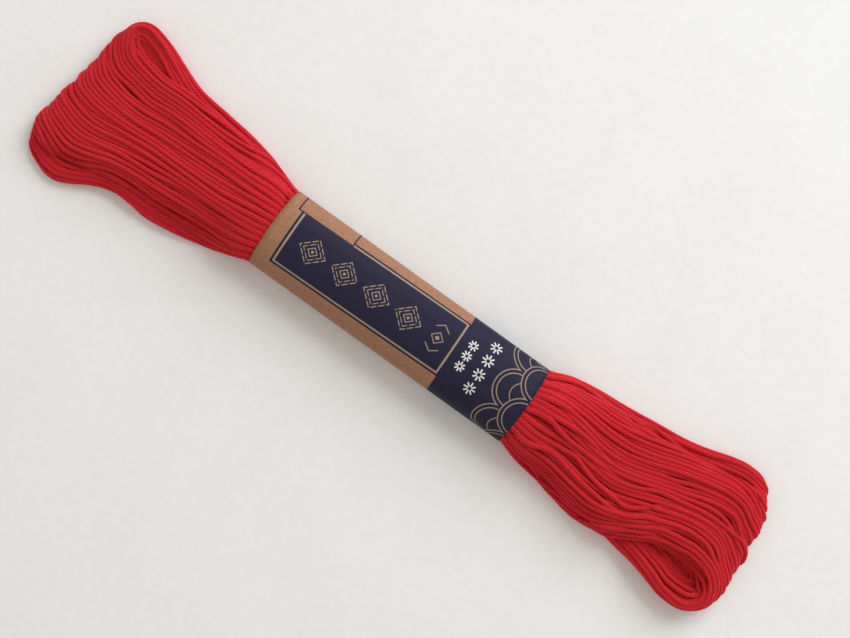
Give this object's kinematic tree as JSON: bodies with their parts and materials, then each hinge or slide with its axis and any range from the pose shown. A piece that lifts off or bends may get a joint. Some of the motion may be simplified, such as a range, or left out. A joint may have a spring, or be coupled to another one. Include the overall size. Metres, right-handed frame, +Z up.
{
  "type": "skein of embroidery floss",
  "caption": "Flat-lying skein of red cotton embroidery floss, fanned at both ends and held in the middle by a printed paper band.",
  "frame": {"origin": "on the resting surface, under the middle of the bounding box, inside the paper band", "axes": "+X along the hank towards the band's dark printed end, +Y across it, +Z up from the surface it lies on"},
  "size_m": [0.1682, 0.0376, 0.01],
  "materials": {
    "red_floss": "soft plied cotton thread, matt with a faint sheen and short fuzz",
    "printed_paper": "kraft-brown paper printed in navy blue, satin ink"
  },
  "bodies": {
    "root": {"floss_hank": "red_floss", "paper_band": "printed_paper"}
  },
  "joints": []
}
